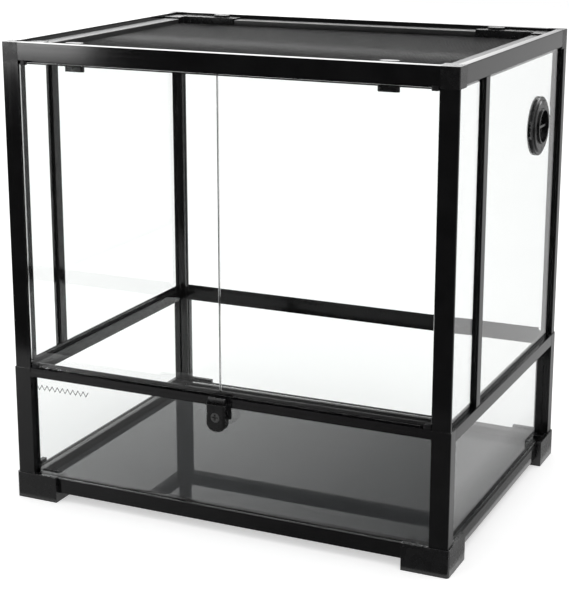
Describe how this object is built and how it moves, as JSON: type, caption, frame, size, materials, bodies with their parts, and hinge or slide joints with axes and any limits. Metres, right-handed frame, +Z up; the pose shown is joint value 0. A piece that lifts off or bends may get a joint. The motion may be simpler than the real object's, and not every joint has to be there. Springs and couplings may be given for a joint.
{
  "type": "aluminium terrarium",
  "caption": "Front-opening terrarium: black aluminium profile frame, glass panes, paired swing doors over a deep glass base, lift-off screen lid, lock and cable port.",
  "frame": {"origin": "on the floor under the middle of the object's box", "axes": "+Z up, +X to the right seen from the doors, the doors face -Y"},
  "size_m": [0.6, 0.46, 0.6],
  "materials": {
    "black_aluminium": "satin black anodised",
    "black_plastic": "fine moulded texture",
    "natural_plastic": "turned",
    "dark_steel": "blackened",
    "black_mesh": "black woven wire",
    "clear_glass": "clear float",
    "dark_glass": "back-painted dark"
  },
  "bodies": {
    "frame": {"foot_front_left": "black_plastic", "foot_front_right": "black_plastic", "foot_back_left": "black_plastic", "foot_back_right": "black_plastic", "bottom_rail_front": "black_aluminium", "bottom_rail_back": "black_aluminium", "bottom_rail_left": "black_aluminium", "bottom_rail_right": "black_aluminium", "lower_post_front_left": "black_aluminium", "lower_post_front_right": "black_aluminium", "lower_post_back_left": "black_aluminium", "lower_post_back_right": "black_aluminium", "mid_joints": "black_plastic", "mid_rail_front": "black_aluminium", "mid_rail_back": "black_aluminium", "mid_rail_left": "black_aluminium", "mid_rail_right": "black_aluminium", "upper_post_front_left": "black_aluminium", "upper_post_front_right": "black_aluminium", "upper_post_back_left": "black_aluminium", "upper_post_back_right": "black_aluminium", "top_corner_front_left": "black_plastic", "top_corner_front_right": "black_plastic", "top_corner_back_left": "black_plastic", "top_corner_back_right": "black_plastic", "top_rail_front": "black_aluminium", "top_rail_back": "black_aluminium", "top_rail_left": "black_aluminium", "top_rail_right": "black_aluminium", "side_mullion_left": "black_aluminium", "side_mullion_right": "black_aluminium", "floor_panel": "dark_glass", "lower_glass_front": "clear_glass", "lower_glass_back": "clear_glass", "lower_glass_left": "clear_glass", "lower_glass_right": "clear_glass", "back_glass": "clear_glass", "side_glass_front_left": "clear_glass", "side_glass_front_right": "clear_glass", "side_glass_rear_left": "clear_glass", "side_glass_rear_right": "clear_glass", "hinge_bushes": "natural_plastic", "lock_housing": "black_plastic", "port_outer_ring": "black_plastic", "port_inner_ring": "black_plastic", "port_screws": "dark_steel"},
    "door_left": {"door_left_glass": "clear_glass", "door_left_pivots": "dark_steel"},
    "door_right": {"door_right_glass": "clear_glass", "door_right_pivots": "dark_steel"},
    "lock_slider": {"lock_slider": "black_plastic"},
    "lock_cylinder": {"lock_cylinder": "dark_steel"},
    "port_shutter": {"port_shutter": "black_plastic"},
    "lid": {"lid_rails": "black_aluminium", "lid_corners": "black_plastic", "lid_mesh": "black_mesh"},
    "latch_front_left": {"lid_latch_front_left": "black_plastic"},
    "latch_front_right": {"lid_latch_front_right": "black_plastic"},
    "latch_back_left": {"lid_latch_back_left": "black_plastic"},
    "latch_back_right": {"lid_latch_back_right": "black_plastic"}
  },
  "joints": [
    {"name": "door_left_swing", "type": "hinge", "parent": "frame", "child": "door_left", "pos_m": [-0.269, -0.2132, 0.38], "axis": [0, 0, -1], "range_deg": [0, 120]},
    {"name": "door_right_swing", "type": "hinge", "parent": "frame", "child": "door_right", "pos_m": [0.269, -0.2132, 0.38], "axis": [0, 0, 1], "range_deg": [0, 120]},
    {"name": "lock_slide", "type": "slide", "parent": "frame", "child": "lock_slider", "axis": [0, 0, 1], "range_m": [0, 0.008]},
    {"name": "lock_turn", "type": "hinge", "parent": "frame", "child": "lock_cylinder", "pos_m": [0, -0.22, 0.158], "axis": [0, 1, 0], "range_deg": [0, 90]},
    {"name": "port_turn", "type": "hinge", "parent": "frame", "child": "port_shutter", "pos_m": [0.2905, 0.12, 0.485], "axis": [1, 0, 0], "range_deg": [0, 180]},
    {"name": "lid_lift", "type": "slide", "parent": "frame", "child": "lid", "axis": [0, 0, 1], "range_m": [0, 0.1]},
    {"name": "latch_front_left_turn", "type": "hinge", "parent": "lid", "child": "latch_front_left", "pos_m": [-0.206, -0.1935, 0.59], "axis": [0, 0, 1], "range_deg": [0, 90]},
    {"name": "latch_front_right_turn", "type": "hinge", "parent": "lid", "child": "latch_front_right", "pos_m": [0.206, -0.1935, 0.59], "axis": [0, 0, -1], "range_deg": [0, 90]},
    {"name": "latch_back_left_turn", "type": "hinge", "parent": "lid", "child": "latch_back_left", "pos_m": [-0.206, 0.2035, 0.59], "axis": [0, 0, -1], "range_deg": [0, 90]},
    {"name": "latch_back_right_turn", "type": "hinge", "parent": "lid", "child": "latch_back_right", "pos_m": [0.206, 0.2035, 0.59], "axis": [0, 0, 1], "range_deg": [0, 90]}
  ]
}
